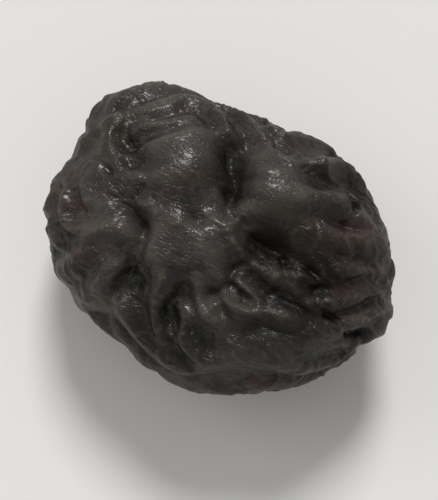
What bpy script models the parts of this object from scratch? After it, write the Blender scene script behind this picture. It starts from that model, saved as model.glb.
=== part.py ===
# A whole prune: a plum dried with its stone inside, lying on its broad side.
# Metres, +Z up. The long axis lies along X with the stem end at -X. The origin is the middle of
# the box's underside, on the surface that the fruit rests on.

import math

import bmesh
import bpy
import numpy as np

MM = 0.001

# Finished size
LENGTH = 31.0 * MM
WIDTH = 23.5 * MM
HEIGHT = 16.5 * MM
FLAT_DEPTH = 0.55 * MM  # how much of the rounded underside the flat resting spot takes away

# The plump form before it wrinkled
HALF = np.array([15.5, 11.75, 8.6]) * MM  # half its length, width and height
STEM_END_BLUNT = 0.12  # share by which the stem end is wider than the tip end
ENDS_FULL = 0.06  # share by which both ends draw in
BACK_BEND = 0.7 * MM  # how far the two ends bend towards +Y
BEND_MIDDLE = 0.3  # the share of it that the middle bends the other way
UNDERSIDE = 0.94  # the underside is a little flatter than the top
LUMPS = ((0.035, 17 * MM, 3), (0.012, 10 * MM, 4))  # share of the radius, size, seed

# Folds of the skin
FOLD_SPACING = 2.9 * MM
SPACING_CHANGE = 0.22  # share by which the spacing wanders
SPACING_CHANGE_SIZE = 9 * MM
FOLD_HEIGHT = 0.78 * MM
HEIGHT_MEAN = 0.85  # the folds' height wanders about this share, and stays in the range below
HEIGHT_CHANGE = 0.28
HEIGHT_CHANGE_SIZE = 8 * MM
HEIGHT_RANGE = (0.3, 1.25)
PATCH_RADIUS = 2.05 * MM
PATCH_GAP = 1.6 * MM
PATCH_STRAY = 0.5  # how unevenly the patches lie, as a share of the gap
SKIN_AREA = 1764 * MM * MM
SWIRL = 0.6  # how far the folds turn from the lengthwise way, in radians
SWIRL_SIZE = 12 * MM
CREST_POWERS = (0.6, 1.7)  # from round crests to narrow ones
CREST_CHANGE_SIZE = 9 * MM
STRENGTH_RANGE = (0.03, 0.65)  # the folds fade out where patches cancel each other
IN_STEP_ROUNDS = 14
FOLD_SEED = 52
HEIGHT_SEED = 33

# Swells and hollows: x and y in millimetres, side (1 on the top, -1 on the underside), size and
# height in millimetres
SWELLS = (
    (-2.3, -2.9, 1, (3.5, 3.5, 4.0), 1.0),
    (-6.1, 3.1, 1, (3.1, 3.6, 3.5), 1.0),
    (2.3, 4.5, 1, (3.0, 2.3, 3.5), 0.8),
    (2.7, -6.9, 1, (2.6, 2.2, 3.0), 0.4),
    (8.4, -6.6, 1, (3.0, 2.4, 3.0), 0.4),
    (11.2, 5.0, 1, (2.4, 2.6, 3.5), 0.45),
    (3.9, 0.5, 1, (2.5, 2.1, 3.5), -1.3),
    (-5.6, -7.6, 1, (1.0, 1.0, 2.0), -0.6),
    (-1.0, -9.0, 1, (1.4, 1.2, 2.0), -0.5),
    (-4.5, 11.6, -1, (6.0, 4.0, 3.2), -0.9),
    (8.5, -5.5, -1, (5.0, 4.0, 4.0), -0.8),
    (-6.0, -3.0, -1, (4.0, 3.0, 3.0), -0.5),
)
SWELL_STEEPNESS = 1.5  # 1 gives a plain bell, more a flatter top with steeper sides

# Where the skin is smoother: x, y, side and radius as above, then the share of the folds it loses
SMOOTH_SPOTS = (
    (-2.3, -2.9, 1, 3.6, 0.85),
    (-6.1, 3.1, 1, 3.8, 0.9),
    (2.3, 4.5, 1, 3.0, 0.8),
    (-12.2, 1.2, 1, 2.4, 0.5),
    (11.2, 5.0, 1, 2.4, 0.5),
)
LEAST_FOLDS = 0.2

# Grooves and ridges: points (x, y) on the top, half width and height, all in millimetres
LINES = (
    (((-11.6, 4.8), (-10.3, 2.9), (-8.9, 1.0), (-8.0, -1.3), (-6.3, -5.2), (-5.6, -7.6)), 0.9, -0.9),
    (((-14.0, -4.5), (-8.0, -9.9), (0.0, -11.6), (8.0, -10.0), (14.0, -4.0)), 0.8, -0.5),
    (((-2.4, 6.5), (-1.6, 4.1), (-1.1, 2.4)), 1.7, -1.6),
    (((-11.6, -0.3), (-10.6, -2.8)), 0.7, -0.5),
    (((-6.8, -2.7), (-5.2, -1.1), (-2.6, 0.5), (0.2, 0.9)), 0.6, -0.5),
    (((-2.7, -7.9), (0.3, -6.2), (2.2, -3.6), (1.6, -0.4)), 0.8, -0.7),
    (((5.6, -0.8), (8.8, -1.7), (11.2, -2.5), (14.0, -2.5)), 0.7, -0.7),
    (((6.0, 3.6), (7.3, 2.3), (9.0, 0.9), (10.3, -0.1)), 0.5, -0.4),
    (((8.3, 5.6), (9.7, 4.0), (11.0, 2.4), (12.8, 1.1)), 0.5, -0.4),
    (((3.0, 6.9), (4.8, 6.5), (7.0, 6.6), (8.9, 5.6)), 0.5, -0.5),
    (((2.8, 7.9), (4.4, 7.8), (6.1, 7.8), (8.3, 6.7)), 0.6, 0.5),
    (((-0.8, 7.8), (0.6, 7.2), (2.6, 7.5)), 0.6, 0.4),
    (((1.6, -8.6), (1.3, -6.9), (2.4, -5.7), (4.8, -5.5)), 0.7, 0.25),
)
LINE_STRAY = 0.5 * MM  # how far a line wanders from its points
LINE_STRAY_SIZE = 4 * MM
LINE_SEEDS = (61, 62, 63)

# Stem scar at -X, in a pit with puckered skin around it
STEM_WAY = (-1.0, 0.10, 0.12)  # its direction from the middle
STEM_PIT_DEPTH = 1.7 * MM
STEM_PIT_RADIUS = 1.8 * MM
SCAR_HEIGHT = 0.55 * MM
SCAR_RADIUS = 0.85 * MM
SCAR_STEEPNESS = 4
PUCKERS = 9
PUCKER_HEIGHT = 0.20 * MM
PUCKER_RADIUS = 2.9 * MM
PUCKER_WIDTH = 1.2 * MM
PUCKER_STRAY = 2.0  # how unevenly they are spaced, in radians of their wave
PUCKER_STRAY_SIZE = 6 * MM
PUCKER_SEED = 90

# Small point at +X, where the flower sat
TIP_WAY = (1.0, -0.06, 0.0)
TIP_HEIGHT = 0.8 * MM
TIP_RADIUS = 2.2 * MM
TIP_PIT_DEPTH = 0.7 * MM
TIP_PIT_RADIUS = 0.7 * MM
END_RADIUS = 10.3 * MM  # turns an angle at either end into a length along the skin

# The folds are lower around both ends and pressed flat near the resting spot
STEM_CALM = (1.2 * MM, 4.6 * MM)
TIP_CALM = (0.8 * MM, 5.0 * MM)
TIP_SHARE = 0.4
PRESSED_SHARE = 0.10
PRESSED_RANGE = (-0.98, -0.72)  # by how straight down the skin lies from the middle

# Mesh
CELLS = 92  # cells along each edge of the cube that is blown up into the sphere
TRIANGLES = 11300

SKIN_COLOUR = (0.018, 0.013, 0.012, 1.0)
SKIN_ROUGHNESS = 0.5


def unit(vectors):
    return vectors / np.linalg.norm(vectors, axis=-1, keepdims=True)


def ramp(values, start, end):
    share = np.clip((values - start) / (end - start), 0, 1)
    return share * share * (3 - 2 * share)


def bell(values, radius):
    return np.exp(-((values / radius) ** 2))


# A smooth random field of about unit strength, whose lumps are of the given size
def drift(points, size, seed, waves=28):
    rng = np.random.default_rng(seed)
    ways = unit(rng.normal(size=(waves, 3)))
    ways *= (2 * math.pi / size) * rng.uniform(0.55, 1.35, (waves, 1))
    starts = rng.uniform(0, 2 * math.pi, waves)
    return np.cos(points @ ways.T + starts).sum(axis=1) * math.sqrt(2 / waves)


def plump_form(directions):
    x, y, z = directions.T
    points = HALF * directions
    points[:, 1] *= 1 + ENDS_FULL / 3 - STEM_END_BLUNT * x - ENDS_FULL * x * x
    points[:, 1] += BACK_BEND * (x * x - BEND_MIDDLE)
    points[:, 2] *= (1 - ENDS_FULL * x) * np.where(z < 0, UNDERSIDE, 1.0)
    swell = sum(share * drift(points, size, seed) for share, size, seed in LUMPS)
    return points * (1 + swell)[:, None]


def outward(points):
    return unit(points / HALF**2)


# The point of the plump form above or below x and y, which are in millimetres
def on_skin(x, y, side):
    rise = 1 - (x * MM / HALF[0]) ** 2 - (y * MM / HALF[1]) ** 2
    return np.array([x * MM, y * MM, side * HALF[2] * math.sqrt(max(rise, 0))])


# Evenly spread directions, in a spiral about X
def spiral(count):
    turns = np.arange(count) + 0.5
    x = 1 - 2 * turns / count
    angle = turns * math.pi * (3 - math.sqrt(5))
    ring = np.sqrt(1 - x * x)
    return np.stack([x, ring * np.cos(angle), ring * np.sin(angle)], axis=1)


# The folds are the crests of many small patches of parallel waves. Each patch has a centre on
# the skin, a wave that runs across the local lie of the folds, and a phase.
def wave_patches():
    count = int(SKIN_AREA / PATCH_GAP**2)
    rng = np.random.default_rng(FOLD_SEED)
    directions = spiral(count)
    directions += rng.normal(scale=PATCH_STRAY / math.sqrt(count), size=directions.shape)
    centres = plump_form(unit(directions))
    normals = outward(centres)
    lengthwise = unit(np.array([1.0, 0.0, 0.0]) - normals * normals[:, :1])
    across = np.cross(normals, lengthwise)
    turn = (SWIRL * drift(centres, SWIRL_SIZE, FOLD_SEED + 50))[:, None]
    waves = across * np.cos(turn) - lengthwise * np.sin(turn)
    change = SPACING_CHANGE * drift(centres, SPACING_CHANGE_SIZE, FOLD_SEED + 60)
    waves *= (2 * math.pi / (FOLD_SPACING * (1 + change)))[:, None]
    return centres, waves, rng.uniform(0, 2 * math.pi, count)


# The patches' waves added up at each point, as complex numbers
def wave_sum(points, centres, waves, phases, block=4000):
    total = np.empty(len(points), complex)
    starts = phases - (centres * waves).sum(axis=1)
    centre_squares = (centres * centres).sum(axis=1)
    for first in range(0, len(points), block):
        some = points[first : first + block]
        apart = (some * some).sum(axis=1)[:, None] + centre_squares - 2 * some @ centres.T
        weight = np.exp(-apart / (2 * PATCH_RADIUS**2))
        angle = some @ waves.T + starts
        real = (weight * np.cos(angle)).sum(axis=1)
        total[first : first + block] = real + 1j * (weight * np.sin(angle)).sum(axis=1)
    return total


# Neighbouring patches are brought into step, so that their crests join into long folds, which
# fork where the number of waves has to change.
def fold_relief(points):
    centres, waves, phases = wave_patches()
    for _ in range(IN_STEP_ROUNDS):
        phases = np.angle(wave_sum(centres, centres, waves, phases))
    total = wave_sum(points, centres, waves, phases)
    strength = np.abs(total)
    strength = ramp(strength / np.median(strength), *STRENGTH_RANGE)
    round_crest, narrow_crest = CREST_POWERS
    narrowness = ramp(drift(points, CREST_CHANGE_SIZE, FOLD_SEED + 21), -1, 1)
    power = round_crest + (narrow_crest - round_crest) * narrowness
    crests = ((1 + np.cos(np.angle(total))) / 2) ** power
    height = HEIGHT_MEAN + HEIGHT_CHANGE * drift(points, HEIGHT_CHANGE_SIZE, HEIGHT_SEED)
    return (crests - 0.5) * strength * FOLD_HEIGHT * np.clip(height, *HEIGHT_RANGE)


def swell_relief(points):
    relief = np.zeros(len(points))
    for x, y, side, size, height in SWELLS:
        reach = (points - on_skin(x, y, side)) / (np.array(size) * MM)
        relief += height * MM * np.exp(-((reach * reach).sum(axis=1) ** SWELL_STEEPNESS))
    return relief


def line_relief(points):
    relief = np.zeros(len(points))
    stray = [drift(points, LINE_STRAY_SIZE, seed) for seed in LINE_SEEDS]
    points = points + LINE_STRAY * np.stack(stray, axis=1)
    for path, half_width, height in LINES:
        stops = np.array([on_skin(x, y, 1) for x, y in path])
        nearest = np.full(len(points), np.inf)
        for start, end in zip(stops[:-1], stops[1:]):
            along = end - start
            share = np.clip((points - start) @ along / (along @ along), 0, 1)
            foot = start + share[:, None] * along
            nearest = np.minimum(nearest, np.linalg.norm(points - foot, axis=1))
        relief += height * MM * bell(nearest, half_width * MM)
    return relief


# Distance along the skin from the point that a direction marks at one end of the fruit
def end_distance(directions, way):
    return END_RADIUS * np.arccos(np.clip(directions @ unit(np.array(way)), -1, 1))


def stem_relief(directions, points):
    away = end_distance(directions, STEM_WAY)
    round_angle = np.arctan2(directions[:, 2] - STEM_WAY[2], directions[:, 1] - STEM_WAY[1])
    stray = PUCKER_STRAY * drift(points, PUCKER_STRAY_SIZE, PUCKER_SEED)
    pucker = PUCKER_HEIGHT * np.cos(PUCKERS * round_angle + stray)
    pucker *= bell(away - PUCKER_RADIUS, PUCKER_WIDTH)
    scar = SCAR_HEIGHT * np.exp(-((away / SCAR_RADIUS) ** SCAR_STEEPNESS))
    return pucker + scar - STEM_PIT_DEPTH * bell(away, STEM_PIT_RADIUS)


def tip_relief(directions):
    away = end_distance(directions, TIP_WAY)
    return TIP_HEIGHT * bell(away, TIP_RADIUS) - TIP_PIT_DEPTH * bell(away, TIP_PIT_RADIUS)


# How much of the folds' height is left on smooth spots, at either end and near the resting spot
def fold_share(directions, points):
    stem = ramp(end_distance(directions, STEM_WAY), *STEM_CALM)
    tip = TIP_SHARE + (1 - TIP_SHARE) * ramp(end_distance(directions, TIP_WAY), *TIP_CALM)
    pressed = PRESSED_SHARE + (1 - PRESSED_SHARE) * ramp(directions[:, 2], *PRESSED_RANGE)
    smooth = np.ones(len(points))
    for x, y, side, radius, loss in SMOOTH_SPOTS:
        away = np.linalg.norm(points - on_skin(x, y, side), axis=1)
        smooth -= loss * bell(away, radius * MM)
    return stem * tip * pressed * np.maximum(smooth, LEAST_FOLDS)


# Brings the fruit to its finished size, with the resting plane at height 0
def fit_to_size(points):
    low, high = points.min(axis=0), points.max(axis=0)
    low[2] += FLAT_DEPTH
    foot = (low + high) / 2
    foot[2] = low[2]
    return (points - foot) * np.array([LENGTH, WIDTH, HEIGHT]) / (high - low)


def prune_points(directions):
    points = plump_form(directions)
    relief = fold_relief(points) * fold_share(directions, points)
    relief += swell_relief(points) + line_relief(points)
    relief += stem_relief(directions, points) + tip_relief(directions)
    return fit_to_size(points + outward(points) * relief[:, None])


# A cube with a grid on each side, blown up into a sphere of nearly even cells
def cube_sphere():
    bm = bmesh.new()
    bmesh.ops.create_cube(bm, size=2.0)
    bmesh.ops.subdivide_edges(bm, edges=bm.edges[:], cuts=CELLS - 1, use_grid_fill=True)
    directions = unit(np.tan(np.array([vertex.co[:] for vertex in bm.verts]) * math.pi / 4))
    return bm, directions


def skin_material():
    material = bpy.data.materials.new("prune_skin")
    material.use_nodes = True
    shader = material.node_tree.nodes["Principled BSDF"]
    shader.inputs["Base Color"].default_value = SKIN_COLOUR
    shader.inputs["Roughness"].default_value = SKIN_ROUGHNESS
    shader.inputs["Metallic"].default_value = 0.0
    material.diffuse_color = SKIN_COLOUR
    return material


# A block under the resting plane, which cuts the flat spot
def flat_cutter(collection):
    bpy.ops.mesh.primitive_cube_add(size=2 * LENGTH, location=(0, 0, -LENGTH))
    cutter = bpy.context.object
    cutter.name = "flat_cutter"
    cutter.display_type = "WIRE"
    cutter.hide_render = True
    for other in cutter.users_collection:
        other.objects.unlink(cutter)
    collection.objects.link(cutter)
    return cutter


def prune(collection, cutter):
    bm, directions = cube_sphere()
    for vertex, point in zip(bm.verts, prune_points(directions)):
        vertex.co = point
    mesh = bpy.data.meshes.new("prune")
    bm.to_mesh(mesh)
    bm.free()
    mesh.shade_smooth()
    mesh.materials.append(skin_material())
    fruit = bpy.data.objects.new("prune", mesh)
    collection.objects.link(fruit)
    coarser = fruit.modifiers.new("fewer_triangles", "DECIMATE")
    coarser.ratio = TRIANGLES / (2 * len(mesh.polygons))
    flat = fruit.modifiers.new("flat_spot", "BOOLEAN")
    flat.operation = "DIFFERENCE"
    flat.solver = "EXACT"
    flat.object = cutter
    return fruit


def main():
    for old in list(bpy.data.objects):
        bpy.data.objects.remove(old, do_unlink=True)
    root = bpy.context.scene.collection
    fruit_collection = bpy.data.collections.new("prune")
    cutter_collection = bpy.data.collections.new("cutters")
    root.children.link(fruit_collection)
    root.children.link(cutter_collection)
    prune(fruit_collection, flat_cutter(cutter_collection))


main()
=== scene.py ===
# A whole prune lying on its broad side on a pale table, seen from nearly straight above.
import math

import bmesh
import bpy
import numpy as np
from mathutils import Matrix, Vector


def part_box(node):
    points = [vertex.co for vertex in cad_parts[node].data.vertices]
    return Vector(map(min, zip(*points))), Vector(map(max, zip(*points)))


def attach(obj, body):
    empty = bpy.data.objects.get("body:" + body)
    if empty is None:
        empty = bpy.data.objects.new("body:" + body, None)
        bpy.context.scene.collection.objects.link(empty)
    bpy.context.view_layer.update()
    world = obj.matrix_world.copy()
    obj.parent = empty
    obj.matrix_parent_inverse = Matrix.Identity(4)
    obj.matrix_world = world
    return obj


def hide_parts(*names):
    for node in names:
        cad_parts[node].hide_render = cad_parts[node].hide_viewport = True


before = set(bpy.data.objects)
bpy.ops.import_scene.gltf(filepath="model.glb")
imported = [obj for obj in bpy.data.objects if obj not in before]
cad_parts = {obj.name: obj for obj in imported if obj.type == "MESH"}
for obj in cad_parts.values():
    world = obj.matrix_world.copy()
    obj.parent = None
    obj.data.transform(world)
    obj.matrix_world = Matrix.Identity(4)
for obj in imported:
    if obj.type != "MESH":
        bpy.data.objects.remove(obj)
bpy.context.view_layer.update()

mm = 0.001


def unit(vectors):
    return vectors / np.linalg.norm(vectors, axis=-1, keepdims=True)


def ramp(values, start, end):  # 0 at start, 1 at end, with soft ends
    share = np.clip((values - start) / (end - start), 0, 1)
    return share * share * (3 - 2 * share)


def bell(values, radius):
    return np.exp(-((values / radius) ** 2))


def drift(points, size, seed, waves=28):  # smooth random field, about -1 to 1, lumps of that size
    rng = np.random.default_rng(seed)
    ways = unit(rng.normal(size=(waves, 3)))
    ways *= (2 * math.pi / size) * rng.uniform(0.55, 1.35, (waves, 1))
    starts = rng.uniform(0, 2 * math.pi, waves)
    return np.cos(points @ ways.T + starts).sum(axis=1) * math.sqrt(2 / waves)


def stray(points, size, amount, seeds):  # the points moved about by up to that amount
    return points + amount * np.stack([drift(points, size, seed) for seed in seeds], axis=1)


# the plum before it wrinkled, what sank or swelled as it dried, and the wrinkles of its skin
fruit = {
    "half": np.array([15.5, 11.75, 8.6]) * mm,
    "stemEndBlunt": 0.12,
    "endsFull": 0.06,
    "backBend": 0.7 * mm,
    "bendMiddle": 0.3,  # the share of the bend that the middle goes the other way
    "underside": 0.94,
    "lumps": ((0.035, 17 * mm, 3), (0.012, 10 * mm, 4)),  # share of the radius, size, seed
    "flatDepth": 0.55 * mm,  # what the flat resting spot takes away
    "skinArea": 1764 * mm * mm,
    "cells": 126,  # along each edge of the cube that becomes the round mesh
    # x and y in mm, side (1 top, -1 underside), size in mm, height in mm
    "swells": (
        (-2.3, -2.9, 1, (3.5, 3.5, 4.0), 1.0),
        (-6.1, 3.1, 1, (3.1, 3.6, 3.5), 1.0),
        (2.3, 4.5, 1, (3.0, 2.3, 3.5), 0.8),
        (2.7, -6.9, 1, (2.6, 2.2, 3.0), 0.4),
        (8.4, -6.6, 1, (3.0, 2.4, 3.0), 0.4),
        (11.2, 5.0, 1, (2.4, 2.6, 3.5), 0.45),
        (3.9, 0.5, 1, (2.5, 2.1, 3.5), -1.3),
        (-5.6, -7.6, 1, (1.0, 1.0, 2.0), -0.6),
        (-1.0, -9.0, 1, (1.4, 1.2, 2.0), -0.5),
        (-4.5, 11.6, -1, (6.0, 4.0, 3.2), -0.9),
        (8.5, -5.5, -1, (5.0, 4.0, 4.0), -0.8),
        (-6.0, -3.0, -1, (4.0, 3.0, 3.0), -0.5),
    ),
    "swellSteepness": 1.5,
    # grooves and ridges of their own: points (x, y) on the top, half width and height, all in mm
    "lines": (
        (((-11.6, 4.8), (-10.3, 2.9), (-8.9, 1.0), (-8.0, -1.3), (-6.3, -5.2), (-5.6, -7.6)), 0.9, -0.9),
        (((-14.0, -4.5), (-8.0, -9.9), (0.0, -11.6), (8.0, -10.0), (14.0, -4.0)), 0.8, -0.5),
        (((-2.4, 6.5), (-1.6, 4.1), (-1.1, 2.4)), 1.7, -1.6),
        (((-11.6, -0.3), (-10.6, -2.8)), 0.7, -0.5),
        (((-6.8, -2.7), (-5.2, -1.1), (-2.6, 0.5), (0.2, 0.9)), 0.6, -0.5),
        (((-2.7, -7.9), (0.3, -6.2), (2.2, -3.6), (1.6, -0.4)), 0.8, -0.7),
        (((5.6, -0.8), (8.8, -1.7), (11.2, -2.5), (14.0, -2.5)), 0.7, -0.7),
        (((6.0, 3.6), (7.3, 2.3), (9.0, 0.9), (10.3, -0.1)), 0.5, -0.4),
        (((8.3, 5.6), (9.7, 4.0), (11.0, 2.4), (12.8, 1.1)), 0.5, -0.4),
        (((3.0, 6.9), (4.8, 6.5), (7.0, 6.6), (8.9, 5.6)), 0.5, -0.5),
        (((2.8, 7.9), (4.4, 7.8), (6.1, 7.8), (8.3, 6.7)), 0.6, 0.5),
        (((-0.8, 7.8), (0.6, 7.2), (2.6, 7.5)), 0.6, 0.4),
        (((1.6, -8.6), (1.3, -6.9), (2.4, -5.7), (4.8, -5.5)), 0.7, 0.25),
    ),
    "lineStray": (4 * mm, 0.5 * mm, (61, 62, 63)),  # size, amount, seeds
    # where the skin is smoother: x, y, side, radius in mm, share of the folds that it loses
    "smooth": (
        (-2.3, -2.9, 1, 3.6, 0.85),
        (-6.1, 3.1, 1, 3.8, 0.9),
        (2.3, 4.5, 1, 3.0, 0.8),
        (-12.2, 1.2, 1, 2.4, 0.5),
        (11.2, 5.0, 1, 2.4, 0.5),
    ),
    "leastFolds": 0.2,
    # tints, among them painted shade and painted light: x, y, side, radius in mm, strength
    "tints": {
        # partly bloom, partly painted light: the domes' lit tops and a glint on the ridge at (0.4, 7.2) are
        # painted paler
        "bloomAndPaintedLight": (
            (-2.3, -2.9, 1, 3.2, 0.8),
            (-6.1, 3.3, 1, 3.2, 1.0),
            (2.1, 4.3, 1, 2.6, 1.5),
            (0.4, 7.2, 1, 1.8, 0.9),
            (3.0, -6.9, 1, 2.4, 1.1),
            (9.6, -7.4, 1, 1.6, 0.4),
            (-9.3, -5.5, 1, 2.6, 1.1),
            (5.6, 4.6, 1, 1.8, 0.4),
        ),
        "ruddy": (
            (8.6, 3.2, 1, 2.8, 1.2),
            (13.8, 0.7, 1, 2.4, 0.8),
            (8.4, 9.7, 1, 3.2, 1.2),
            (-13.6, -2.6, 1, 2.8, 0.9),
            (-5.0, 0.0, 1, 1.8, 0.5),
        ),
        "olive": ((3.9, 0.6, 1, 2.6, 0.9), (-13.0, 2.8, 1, 2.8, 0.9), (3.5, 3.6, 1, 2.2, 0.4)),
        # painted shade: spots painted darker in the hollows and along the right-hand side
        "paintedShade": (
            (-1.8, 4.3, 1, 1.9, 1.0),
            (3.9, 0.3, 1, 2.4, 1.0),
            (9.3, -0.5, 1, 3.0, 0.7),
            (7.6, -4.6, 1, 2.6, 0.3),
            (7.4, 9.0, 1, 3.0, 0.7),
            (12.2, 4.8, 1, 2.4, 0.6),
            (13.8, 0.7, 1, 2.2, 0.4),
            (-13.2, 2.7, 1, 2.0, 0.3),
        ),
    },
    "endRadius": 10.3 * mm,  # turns an angle at either end into a length along the skin
    # the stem scar in its pit, with puckered skin around it
    "stem": {
        "way": (-1.0, 0.10, 0.12),
        "pitDepth": 1.7 * mm,
        "pitRadius": 1.8 * mm,
        "scarHeight": 0.55 * mm,
        "scarRadius": 0.85 * mm,
        "corkRadius": 0.9 * mm,
        "edgeSteepness": 4,
        # painted shade in the stem pit
        "paintedShade": (0.8, 2.0 * mm),  # strength, radius
        "puckers": 9,
        "puckerHeight": 0.20 * mm,
        "puckerRadius": 2.9 * mm,
        "puckerWidth": 1.2 * mm,
        "puckerSway": (2, 6 * mm, 90),  # how far they sway, size, seed
        "calm": (1.2 * mm, 4.6 * mm),  # the folds start and are whole this far away
    },
    # the small point where the flower sat
    "tip": {
        "way": (1.0, -0.06, 0.0),
        "height": 0.8 * mm,
        "radius": 2.2 * mm,
        "pitDepth": 0.7 * mm,
        "pitRadius": 0.7 * mm,
        "calm": (0.8 * mm, 5.0 * mm),
        "folds": 0.4,  # the share of the folds that is left on it
    },
    "pressed": (0.10, -0.98, -0.72),  # share of the folds left underneath, and how far down that is
    "folds": {
        "spacing": 2.9 * mm,
        "height": 0.78 * mm,
        # how the height changes from place to place: middle, spread, size, seed, least, most
        "heightChange": (0.85, 0.28, 8 * mm, 33, 0.3, 1.25),
        "patchRadius": 2.05 * mm,
        "patchGap": 1.6 * mm,
        "swirl": (0.6, 12 * mm),  # turn in radians, size
        "powers": (0.6, 1.7),  # from round crests to narrow ones
        "rounds": 14,
        "seed": 52,
    },
    "wrinkles": {
        "spacing": 1.15 * mm,
        "height": 0.13 * mm,
        "heightChange": (0.55, 0.5, 5 * mm, 44, 0.05, 1.2),
        "patchRadius": 0.80 * mm,
        "patchGap": 0.78 * mm,
        "swirl": (0.9, 6 * mm),
        "powers": (0.9, 2.2),
        "rounds": 3,
        "seed": 17,
    },
    "wrinkleStray": (2.2 * mm, 0.35 * mm, (71, 72, 73)),  # size, amount, seeds
    "crinkles": ((1.7 * mm, 0.025 * mm, 81), (0.8 * mm, 0.01 * mm, 82)),  # size, height, seed
    "crinkleWaves": 40,
    "spacingChange": (0.22, 9 * mm),  # how the spacing changes from place to place: share, size
    "powerSize": 9 * mm,
    "seedSteps": {"swirl": 50, "spacing": 60, "power": 21},
    "patchScatter": 0.5,  # against the gap between two patches
    "patchReach": 4.5,  # past this many radii a patch is too faint
    "patchFade": (0.03, 0.65),  # where patches cancel out, in shares of the usual strength
    "blockSize": 3 * mm,  # points in one such cube are worked out together
}


def plumpForm(directions):
    x, y, z = directions.T
    points = fruit["half"] * directions
    points[:, 1] *= 1 + fruit["endsFull"] / 3 - fruit["stemEndBlunt"] * x - fruit["endsFull"] * x * x
    points[:, 1] += fruit["backBend"] * (x * x - fruit["bendMiddle"])
    points[:, 2] *= (1 - fruit["endsFull"] * x) * np.where(z < 0, fruit["underside"], 1.0)
    swell = sum(share * drift(points, size, seed) for share, size, seed in fruit["lumps"])
    return points * (1 + swell)[:, None]


def outward(points):
    return unit(points / fruit["half"] ** 2)


def onSkin(x, y, side):  # a point given in mm over the top or under the underside
    half = fruit["half"]
    rise = 1 - (x * mm / half[0]) ** 2 - (y * mm / half[1]) ** 2
    return np.array([x * mm, y * mm, side * half[2] * math.sqrt(max(rise, 0))])


def spiral(count):  # evenly spread directions, in a spiral about X
    turns = np.arange(count) + 0.5
    x = 1 - 2 * turns / count
    angle = turns * math.pi * (3 - math.sqrt(5))
    ring = np.sqrt(1 - x * x)
    return np.stack([x, ring * np.cos(angle), ring * np.sin(angle)], axis=1)


# small patches of parallel waves all over the skin: a centre, a wave across the lie of the
# folds, and a phase
def wavePatches(kind):
    count = int(fruit["skinArea"] / kind["patchGap"] ** 2)
    rng = np.random.default_rng(kind["seed"])
    directions = spiral(count)
    directions += rng.normal(scale=fruit["patchScatter"] / math.sqrt(count), size=directions.shape)
    centres = plumpForm(unit(directions))
    normals = outward(centres)
    lengthwise = unit(np.array([1.0, 0.0, 0.0]) - normals * normals[:, :1])
    across = np.cross(normals, lengthwise)
    steps = fruit["seedSteps"]
    swirl, swirlSize = kind["swirl"]
    turn = (swirl * drift(centres, swirlSize, kind["seed"] + steps["swirl"]))[:, None]
    waves = across * np.cos(turn) - lengthwise * np.sin(turn)
    share, size = fruit["spacingChange"]
    spacing = kind["spacing"] * (1 + share * drift(centres, size, kind["seed"] + steps["spacing"]))
    waves *= (2 * math.pi / spacing)[:, None]
    return centres, waves, rng.uniform(0, 2 * math.pi, count)


def blocks(points, size):  # groups of points that lie together
    cell = np.floor(points / size).astype(int)
    _, block = np.unique(cell, axis=0, return_inverse=True)
    block = block.ravel()
    order = np.argsort(block, kind="stable")
    numbers = np.bincount(block)
    return [order[last - number : last] for last, number in zip(np.cumsum(numbers), numbers)]


# the patches' waves added up at each point, as complex numbers
def waveSum(points, centres, waves, phases, radius):
    total = np.empty(len(points), complex)
    starts = phases - (centres * waves).sum(axis=1)
    for block in blocks(points, fruit["blockSize"]):
        some = points[block]
        middle = some.mean(axis=0)
        reach = np.linalg.norm(some - middle, axis=1).max() + fruit["patchReach"] * radius
        near = np.linalg.norm(centres - middle, axis=1) < reach
        close = centres[near]
        apart = (some * some).sum(axis=1)[:, None] + (close * close).sum(axis=1) - 2 * some @ close.T
        weight = np.exp(-apart / (2 * radius**2))
        angle = some @ waves[near].T + starts[near]
        total[block] = (weight * np.cos(angle)).sum(axis=1) + 1j * (weight * np.sin(angle)).sum(axis=1)
    return total


def crestField(points, kind):  # -0.5 in the valleys to 0.5 on the crests
    centres, waves, phases = wavePatches(kind)
    for _ in range(kind["rounds"]):  # brings neighbouring patches into step, so that crests join
        phases = np.angle(waveSum(centres, centres, waves, phases, kind["patchRadius"]))
    total = waveSum(points, centres, waves, phases, kind["patchRadius"])
    strength = np.abs(total)
    strength = ramp(strength / np.median(strength), *fruit["patchFade"])
    low, high = kind["powers"]
    sway = drift(points, fruit["powerSize"], kind["seed"] + fruit["seedSteps"]["power"])
    power = low + (high - low) * ramp(sway, -1, 1)
    return (((1 + np.cos(np.angle(total))) / 2) ** power - 0.5) * strength


def heightChange(points, kind):
    middle, spread, size, seed, least, most = kind["heightChange"]
    return np.clip(middle + spread * drift(points, size, seed), least, most)


def swellRelief(points):
    relief = np.zeros(len(points))
    for x, y, side, size, height in fruit["swells"]:
        reach = (points - onSkin(x, y, side)) / (np.array(size) * mm)
        relief += height * mm * np.exp(-((reach * reach).sum(axis=1) ** fruit["swellSteepness"]))
    return relief


def lineRelief(points):
    relief = np.zeros(len(points))
    points = stray(points, *fruit["lineStray"])
    for path, halfWidth, height in fruit["lines"]:
        stops = np.array([onSkin(x, y, 1) for x, y in path])
        nearest = np.full(len(points), np.inf)
        for start, end in zip(stops[:-1], stops[1:]):
            along = end - start
            share = np.clip((points - start) @ along / (along @ along), 0, 1)
            foot = start + share[:, None] * along
            nearest = np.minimum(nearest, np.linalg.norm(points - foot, axis=1))
        relief += height * mm * bell(nearest, halfWidth * mm)
    return relief


def spots(points, places):  # strong at its places, fading around them
    strength = np.zeros(len(points))
    for x, y, side, radius, most in places:
        strength += most * bell(np.linalg.norm(points - onSkin(x, y, side), axis=1), radius * mm)
    return strength


def endDistance(directions, end):
    way = unit(np.array(end["way"]))
    return fruit["endRadius"] * np.arccos(np.clip(directions @ way, -1, 1))


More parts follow.
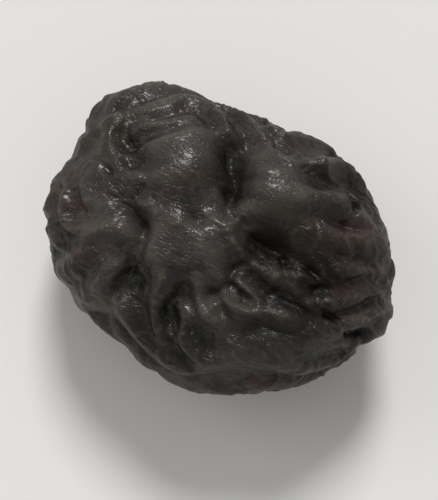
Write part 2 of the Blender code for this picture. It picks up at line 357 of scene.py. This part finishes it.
def stemRelief(directions, points):
    stem = fruit["stem"]
    away = endDistance(directions, stem)
    angle = np.arctan2(directions[:, 2] - stem["way"][2], directions[:, 1] - stem["way"][1])
    sway, size, seed = stem["puckerSway"]
    pucker = stem["puckerHeight"] * np.cos(stem["puckers"] * angle + sway * drift(points, size, seed))
    pucker *= bell(away - stem["puckerRadius"], stem["puckerWidth"])
    scar = stem["scarHeight"] * np.exp(-((away / stem["scarRadius"]) ** stem["edgeSteepness"]))
    return pucker + scar - stem["pitDepth"] * bell(away, stem["pitRadius"])


def tipRelief(directions):
    tip = fruit["tip"]
    away = endDistance(directions, tip)
    return tip["height"] * bell(away, tip["radius"]) - tip["pitDepth"] * bell(away, tip["pitRadius"])


# the folds are lower on the smooth spots and at both ends, and pressed flat underneath
def foldShare(directions, points):
    stem = ramp(endDistance(directions, fruit["stem"]), *fruit["stem"]["calm"])
    left = fruit["tip"]["folds"]
    tip = left + (1 - left) * ramp(endDistance(directions, fruit["tip"]), *fruit["tip"]["calm"])
    left, lowest, highest = fruit["pressed"]
    pressed = left + (1 - left) * ramp(directions[:, 2], lowest, highest)
    return stem * tip * pressed * np.maximum(1 - spots(points, fruit["smooth"]), fruit["leastFolds"])


def fineRelief(points):  # small wrinkles between the folds, and crinkles on those
    strayed = stray(points, *fruit["wrinkleStray"])
    wrinkle = crestField(strayed, fruit["wrinkles"])
    relief = wrinkle * fruit["wrinkles"]["height"] * heightChange(points, fruit["wrinkles"])
    for size, height, seed in fruit["crinkles"]:
        relief += height * drift(strayed, size, seed, waves=fruit["crinkleWaves"])
    return relief, wrinkle


def makeSkin():
    bm = bmesh.new()
    bmesh.ops.create_cube(bm, size=2.0)
    bmesh.ops.subdivide_edges(bm, edges=bm.edges[:], cuts=fruit["cells"] - 1, use_grid_fill=True)
    directions = unit(np.tan(np.array([vertex.co[:] for vertex in bm.verts]) * math.pi / 4))
    points = plumpForm(directions)
    normals = outward(points)
    calm = foldShare(directions, points)

    # the coarse form is the frame's own one, brought to the frame's box
    crest = crestField(points, fruit["folds"])
    swell = swellRelief(points) + lineRelief(points)
    relief = crest * fruit["folds"]["height"] * heightChange(points, fruit["folds"]) * calm
    relief += swell + stemRelief(directions, points) + tipRelief(directions)
    coarse = points + normals * relief[:, None]
    low, high = coarse.min(axis=0), coarse.max(axis=0)
    low[2] += fruit["flatDepth"]
    foot = (low + high) / 2
    foot[2] = low[2]
    boxLow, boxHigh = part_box("prune")
    scale = np.array(boxHigh - boxLow) / (high - low)

    fine, wrinkle = fineRelief(points)
    placed = (coarse + normals * (fine * calm)[:, None] - foot) * scale
    placed[:, 2] = np.maximum(placed[:, 2], 0)  # flat where it rests
    for vertex, point in zip(bm.verts, placed):
        vertex.co = point
    mesh = bpy.data.meshes.new("pruneSkin")
    bm.to_mesh(mesh)
    bm.free()
    mesh.shade_smooth()

    # what the skin's colour follows
    stemAway = endDistance(directions, fruit["stem"])
    own = {name: spots(points, places) for name, places in fruit["tints"].items()}
    # painted shade darkens the stem pit
    most, radius = fruit["stem"]["paintedShade"]
    own["paintedShade"] += most * bell(stemAway, radius)
    own["scar"] = np.exp(-((stemAway / fruit["stem"]["corkRadius"]) ** fruit["stem"]["edgeSteepness"]))
    own.update(crest=crest + 0.5, wrinkle=wrinkle + 0.5, sunken=-swell / mm)
    for name, values in own.items():
        attribute = mesh.attributes.new(name, "FLOAT", "POINT")
        attribute.data.foreach_set("value", np.ascontiguousarray(values, np.float32))
    skin = bpy.data.objects.new("pruneSkin", mesh)
    bpy.context.scene.collection.objects.link(skin)
    print("skin made,", len(mesh.polygons), "faces")
    return skin


def linear(hexColour):
    channels = [int(hexColour[i : i + 2], 16) / 255 for i in (1, 3, 5)]
    return tuple(c / 12.92 if c <= 0.04045 else ((c + 0.055) / 1.055) ** 2.4 for c in channels) + (1.0,)


# adds a node; inputs are values or the sockets that feed them
def addNode(tree, kind, inputs=None, **settings):
    node = tree.nodes.new(kind)
    for name, value in settings.items():
        setattr(node, name, value)
    for key, value in (inputs or {}).items():
        if isinstance(value, bpy.types.NodeSocket):
            tree.links.new(value, node.inputs[key])
        else:
            node.inputs[key].default_value = value
    return node


skinLook = {
    # near black, painted shade in the valleys and hollows
    "valleyShade": "#0B0908",
    "flesh": "#16120E",
    "crest": "#221D17",
    "red": "#381815",
    "olive": "#24210F",
    "bloom": "#4C4943",
    "paleCrest": "#5B5347",
    "scar": "#3D352B",
    "cork": "#120F0C",
    "toneShares": (1.6, 0.40),  # of the unevenness and the wrinkles, against 1 for the folds
    "toneRange": (0.7, 2.3),
    "toneStops": (0.10, 0.50, 0.95),  # valley, flesh, crest
    # where a colour starts, where it is full, and its share there
    "redRange": (0.50, 0.74, 0.62),
    "bloomRange": (0.70, 1.05, 0.5),
    "paleCrestRange": (1.10, 1.65, 0.34),
    # painted shade in the sunken hollows
    "hollowShadeRange": (0.25, 1.1, 0.85),
    "ruddyShare": 0.2,  # how much redder the ruddy spots are
    "bloomShares": (0.45, 0.10, 0.18),  # of the grain, the crests and the grey spots
    "brokenShare": 1.2,
    "scarRagged": 0.8,
    "scarEdge": (0.85, 1.0),
    "roughness": (0.50, 0.74),  # moist skin, bloom
    "specular": 0.30,
    "ior": 1.45,
    "coat": 0.3,
    "coatRoughness": 0.16,
    "shadedGleam": 0.25,  # the share of the gleam that is left in the shaded hollows
    # how wide the patterns are
    "unevenSize": 1.1 * mm,
    "redSize": 5.0 * mm,
    "cloudSize": 4.5 * mm,
    "grainSize": 0.45 * mm,
    "brokenSize": 0.7 * mm,
    "creaseSize": 0.5 * mm,
    "poreSize": 0.22 * mm,
    "lengthwise": (0.45, 1.0, 1.0),  # draws a pattern out along X
    # how deep they are
    "creaseDepth": 0.038 * mm,
    "poreDepth": 0.032 * mm,
    "bumpStrength": 0.7,
    "creaseWidth": 0.09,  # of the pattern's range
}


# The colours lie over each other as follows. A colour Mix takes its share at 0 and its colours at
# 6 and 7, and gives the result at 2.
def skinColour(tree, place, drawn, own):
    look = skinLook

    # from the valleys over the flanks to the crests, unevenly; the near black in the valleys is painted
    # shade
    unevenInputs = {"Vector": place, "Scale": 1 / look["unevenSize"], "Detail": 6.0, "Roughness": 0.6}
    uneven = addNode(tree, "ShaderNodeTexNoise", unevenInputs).outputs["Fac"]
    unevenShare, wrinkleShare = look["toneShares"]
    coarse = {0: uneven, 1: unevenShare, 2: own["crest"]}
    height = addNode(tree, "ShaderNodeMath", coarse, operation="MULTIPLY_ADD")
    small = {0: own["wrinkle"], 1: wrinkleShare, 2: height.outputs[0]}
    height = addNode(tree, "ShaderNodeMath", small, operation="MULTIPLY_ADD")
    start, full = look["toneRange"]
    heightRange = {"Value": height.outputs[0], "From Min": start, "From Max": full}
    height = addNode(tree, "ShaderNodeMapRange", heightRange)
    tone = addNode(tree, "ShaderNodeValToRGB", {"Fac": height.outputs[0]})
    valleyShadeStop, fleshStop, crestStop = look["toneStops"]
    tone.color_ramp.elements[0].position = valleyShadeStop
    tone.color_ramp.elements[0].color = linear(look["valleyShade"])
    tone.color_ramp.elements[1].position = crestStop
    tone.color_ramp.elements[1].color = linear(look["crest"])
    tone.color_ramp.elements.new(fleshStop).color = linear(look["flesh"])
    colour = tone.outputs[0]

    # plum red in patches a few millimetres across
    patchInputs = {"Vector": place, "Scale": 1 / look["redSize"], "Detail": 5.0, "Roughness": 0.6}
    patches = addNode(tree, "ShaderNodeTexNoise", patchInputs).outputs["Fac"]
    redder = {0: own["ruddy"], 1: look["ruddyShare"], 2: patches}
    patches = addNode(tree, "ShaderNodeMath", redder, operation="MULTIPLY_ADD")
    start, full, share = look["redRange"]
    redRange = {"Value": patches.outputs[0], "From Min": start, "From Max": full, "To Max": share}
    red = addNode(tree, "ShaderNodeMapRange", redRange, interpolation_type="SMOOTHSTEP")
    redMix = {0: red.outputs[0], 6: colour, 7: linear(look["red"])}
    colour = addNode(tree, "ShaderNodeMix", redMix, data_type="RGBA").outputs[2]

    # olive brown here and there
    oliveMix = {0: own["olive"], 6: colour, 7: linear(look["olive"])}
    colour = addNode(tree, "ShaderNodeMix", oliveMix, data_type="RGBA").outputs[2]

    # grey bloom lies in clouds, thin and grainy, thicker on the crests and on the grey spots; on the domes'
    # tops and a glinting ridge those spots are painted light
    cloudInputs = {"Vector": place, "Scale": 1 / look["cloudSize"], "Detail": 3.0}
    cloud = addNode(tree, "ShaderNodeTexNoise", cloudInputs).outputs["Fac"]
    grainInputs = {"Vector": place, "Scale": 1 / look["grainSize"], "Detail": 3.0, "Roughness": 0.7}
    grain = addNode(tree, "ShaderNodeTexNoise", grainInputs).outputs["Fac"]
    dusty = cloud
    for source, share in zip((grain, own["crest"], own["bloomAndPaintedLight"]), look["bloomShares"]):
        more = {0: source, 1: share, 2: dusty}
        dusty = addNode(tree, "ShaderNodeMath", more, operation="MULTIPLY_ADD").outputs[0]
    start, full, share = look["bloomRange"]
    bloomRange = {"Value": dusty, "From Min": start, "From Max": full, "To Max": share}
    bloom = addNode(tree, "ShaderNodeMapRange", bloomRange, interpolation_type="SMOOTHSTEP").outputs[0]
    bloomMix = {0: bloom, 6: colour, 7: linear(look["bloom"])}
    colour = addNode(tree, "ShaderNodeMix", bloomMix, data_type="RGBA").outputs[2]

    # the narrow tops of folds and wrinkles are paler, in broken lines
    top = addNode(tree, "ShaderNodeMath", {0: own["crest"], 1: own["wrinkle"]}, operation="MULTIPLY")
    brokenInputs = {"Vector": drawn, "Scale": 1 / look["brokenSize"], "Detail": 4.0, "Roughness": 0.65}
    broken = addNode(tree, "ShaderNodeTexNoise", brokenInputs).outputs["Fac"]
    brokenTop = {0: broken, 1: look["brokenShare"], 2: top.outputs[0]}
    top = addNode(tree, "ShaderNodeMath", brokenTop, operation="MULTIPLY_ADD")
    start, full, share = look["paleCrestRange"]
    paleCrestRange = {"Value": top.outputs[0], "From Min": start, "From Max": full, "To Max": share}
    paleCrest = addNode(tree, "ShaderNodeMapRange", paleCrestRange, interpolation_type="SMOOTHSTEP")
    paleCrestMix = {0: paleCrest.outputs[0], 6: colour, 7: linear(look["paleCrest"])}
    colour = addNode(tree, "ShaderNodeMix", paleCrestMix, data_type="RGBA").outputs[2]

    # painted shade: hollows and a few patches are painted darkest, as if little light got out of them
    start, full, share = look["hollowShadeRange"]
    hollowShadeRange = {"Value": own["sunken"], "From Min": start, "From Max": full}
    hollowShade = addNode(tree, "ShaderNodeMapRange", hollowShadeRange, interpolation_type="SMOOTHSTEP").outputs[0]
    hollowShade = addNode(tree, "ShaderNodeMath", {0: hollowShade, 1: own["paintedShade"]}, operation="MAXIMUM").outputs[0]
    hollowShade = addNode(tree, "ShaderNodeMath", {0: hollowShade, 1: share}, operation="MULTIPLY").outputs[0]
    hollowShadeMix = {0: hollowShade, 6: colour, 7: linear(look["valleyShade"])}
    colour = addNode(tree, "ShaderNodeMix", hollowShadeMix, data_type="RGBA").outputs[2]

    # the corky stem scar is mottled and has a ragged edge
    corkMix = {0: uneven, 6: linear(look["cork"]), 7: linear(look["scar"])}
    cork = addNode(tree, "ShaderNodeMix", corkMix, data_type="RGBA").outputs[2]
    raggedScar = {0: grain, 1: look["scarRagged"], 2: own["scar"]}
    ragged = addNode(tree, "ShaderNodeMath", raggedScar, operation="MULTIPLY_ADD")
    start, full = look["scarEdge"]
    edgeRange = {"Value": ragged.outputs[0], "From Min": start, "From Max": full}
    edge = addNode(tree, "ShaderNodeMapRange", edgeRange)
    scarMix = {0: edge.outputs[0], 6: colour, 7: cork}
    return addNode(tree, "ShaderNodeMix", scarMix, data_type="RGBA").outputs[2], bloom


# Creases run lengthwise, so their pattern is drawn out along X. Pores are drawn at 0.22 mm, as
# finer ones wouldn't show.
def skinBump(tree, place, drawn):
    look = skinLook
    creaseInputs = {"Vector": drawn, "Scale": 1 / look["creaseSize"], "Detail": 2.0, "Distortion": 0.6}
    creases = addNode(tree, "ShaderNodeTexNoise", creaseInputs).outputs["Fac"]
    creases = addNode(tree, "ShaderNodeMath", {0: creases, 1: 0.5}, operation="SUBTRACT").outputs[0]
    creases = addNode(tree, "ShaderNodeMath", {0: creases}, operation="ABSOLUTE").outputs[0]
    creaseRange = {"Value": creases, "From Max": look["creaseWidth"]}
    creases = addNode(tree, "ShaderNodeMapRange", creaseRange, interpolation_type="SMOOTHSTEP").outputs[0]
    poreInputs = {"Vector": place, "Scale": 1 / look["poreSize"], "Detail": 2.0}
    pores = addNode(tree, "ShaderNodeTexNoise", poreInputs).outputs["Fac"]
    strength = look["bumpStrength"]
    creaseBump = {"Strength": strength, "Distance": look["creaseDepth"], "Height": creases}
    creased = addNode(tree, "ShaderNodeBump", creaseBump).outputs[0]
    poreBump = {"Strength": strength, "Distance": look["poreDepth"], "Height": pores, "Normal": creased}
    return addNode(tree, "ShaderNodeBump", poreBump).outputs[0]


# Dried plum skin: air-dried at about 75 degrees until it is leathery, then moistened again. The
# sugar in it keeps it near black and softly glossy, with a dull grey bloom where it was rubbed
# least, and it turns red where it is thin.
def driedPlumSkin():
    look = skinLook
    material = bpy.data.materials.new("driedPlumSkin")
    material.use_nodes = True
    tree = material.node_tree
    shader = tree.nodes["Principled BSDF"]
    place = addNode(tree, "ShaderNodeTexCoord").outputs["Object"]
    drawn = addNode(tree, "ShaderNodeMapping", {"Vector": place, "Scale": look["lengthwise"]}).outputs[0]
    names = ("crest", "wrinkle", "sunken", "scar", *fruit["tints"])
    own = {name: addNode(tree, "ShaderNodeAttribute", attribute_name=name).outputs["Fac"] for name in names}
    colour, bloom = skinColour(tree, place, drawn, own)
    tree.links.new(colour, shader.inputs["Base Color"])
    moist, dull = look["roughness"]
    mostBloom = look["bloomRange"][2]
    roughRange = {"Value": bloom, "From Max": mostBloom, "To Min": moist, "To Max": dull}
    tree.links.new(addNode(tree, "ShaderNodeMapRange", roughRange).outputs[0], shader.inputs["Roughness"])
    # where shade is painted, the skin gleams less as well
    for name, most in (("Specular IOR Level", look["specular"]), ("Coat Weight", look["coat"])):
        gleam = {"Value": own["paintedShade"], "To Min": most, "To Max": most * look["shadedGleam"]}
        tree.links.new(addNode(tree, "ShaderNodeMapRange", gleam).outputs[0], shader.inputs[name])
    shader.inputs["IOR"].default_value = look["ior"]
    shader.inputs["Coat Roughness"].default_value = look["coatRoughness"]
    bumpy = skinBump(tree, place, drawn)
    tree.links.new(bumpy, shader.inputs["Normal"])
    tree.links.new(bumpy, shader.inputs["Coat Normal"])
    return material


def finishSkin():
    skin = makeSkin()
    skin.data.materials.append(driedPlumSkin())
    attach(skin, "root")
    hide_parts("prune")
    print("skin finished")


table = {"size": 6.0, "colour": "#E9E8E6", "roughness": 0.85, "sheen": 0.0}


# Matt painted board: even and pale, without gloss
def mattPaint():
    material = bpy.data.materials.new("mattPaint")
    material.use_nodes = True
    shader = material.node_tree.nodes["Principled BSDF"]
    shader.inputs["Base Color"].default_value = linear(table["colour"])
    shader.inputs["Roughness"].default_value = table["roughness"]
    shader.inputs["Specular IOR Level"].default_value = table["sheen"]
    return material


def makeTable():
    bpy.ops.mesh.primitive_plane_add(size=table["size"])
    top = bpy.context.object
    top.name = "tableTop"
    top.data.materials.append(mattPaint())
    print("table made")


lights = {
    # the studio's walls are brighter than its ceiling
    "horizon": (0.78, 0.77, 0.745, 1.0),
    "overhead": (0.345, 0.34, 0.333, 1.0),
    "fadeEnd": 0.5,  # as dim as overhead from this height on, 1 being straight up
    # where it comes from, how wide it looks in degrees, watts per square metre
    "key": ((-0.07, 0.18, 0.20), 18, 2.2),
    "fill": ((-0.20, -0.02, 0.12), 40, 0.45),
}


def makeStudio():
    world = bpy.data.worlds.new("studio")
    bpy.context.scene.world = world
    world.use_nodes = True
    tree = world.node_tree
    way = addNode(tree, "ShaderNodeTexCoord").outputs["Generated"]
    height = addNode(tree, "ShaderNodeSeparateXYZ", {"Vector": way}).outputs["Z"]
    share = addNode(tree, "ShaderNodeMapRange", {"Value": height, "From Max": lights["fadeEnd"]}).outputs[0]
    shades = {0: share, 6: lights["horizon"], 7: lights["overhead"]}
    colour = addNode(tree, "ShaderNodeMix", shades, data_type="RGBA").outputs[2]
    tree.links.new(colour, tree.nodes["Background"].inputs["Color"])


def makeLights():
    for name in ("key", "fill"):
        place, width, strength = lights[name]
        light = bpy.data.lights.new(name, "SUN")
        light.angle = math.radians(width)
        light.energy = strength
        lamp = bpy.data.objects.new(name, light)
        lamp.location = place
        lamp.rotation_euler = (-Vector(place)).to_track_quat("-Z", "Y").to_euler()
        bpy.context.scene.collection.objects.link(lamp)
    print("lights made")


# turned so that the fruit's long axis slopes down to the right, as in the photograph
camera = {"azimuth": 26, "elevation": 80, "lens": 120, "distance": 0.14, "lookAt": (0, 0, 0.008)}


def makeCamera():
    azimuth, elevation = math.radians(camera["azimuth"]), math.radians(camera["elevation"])
    level = math.cos(elevation)
    back = Vector((math.sin(azimuth) * level, -math.cos(azimuth) * level, math.sin(elevation)))
    view = bpy.data.cameras.new("camera")
    view.lens = camera["lens"]
    view.clip_start = 0.01
    stand = bpy.data.objects.new("camera", view)
    stand.location = Vector(camera["lookAt"]) + back * camera["distance"]
    stand.rotation_euler = (-back).to_track_quat("-Z", "Y").to_euler()
    bpy.context.scene.collection.objects.link(stand)
    bpy.context.scene.camera = stand
    bpy.context.scene.view_settings.view_transform = "Standard"
    print("camera made")


finishSkin()
makeTable()
makeStudio()
makeLights()
makeCamera()
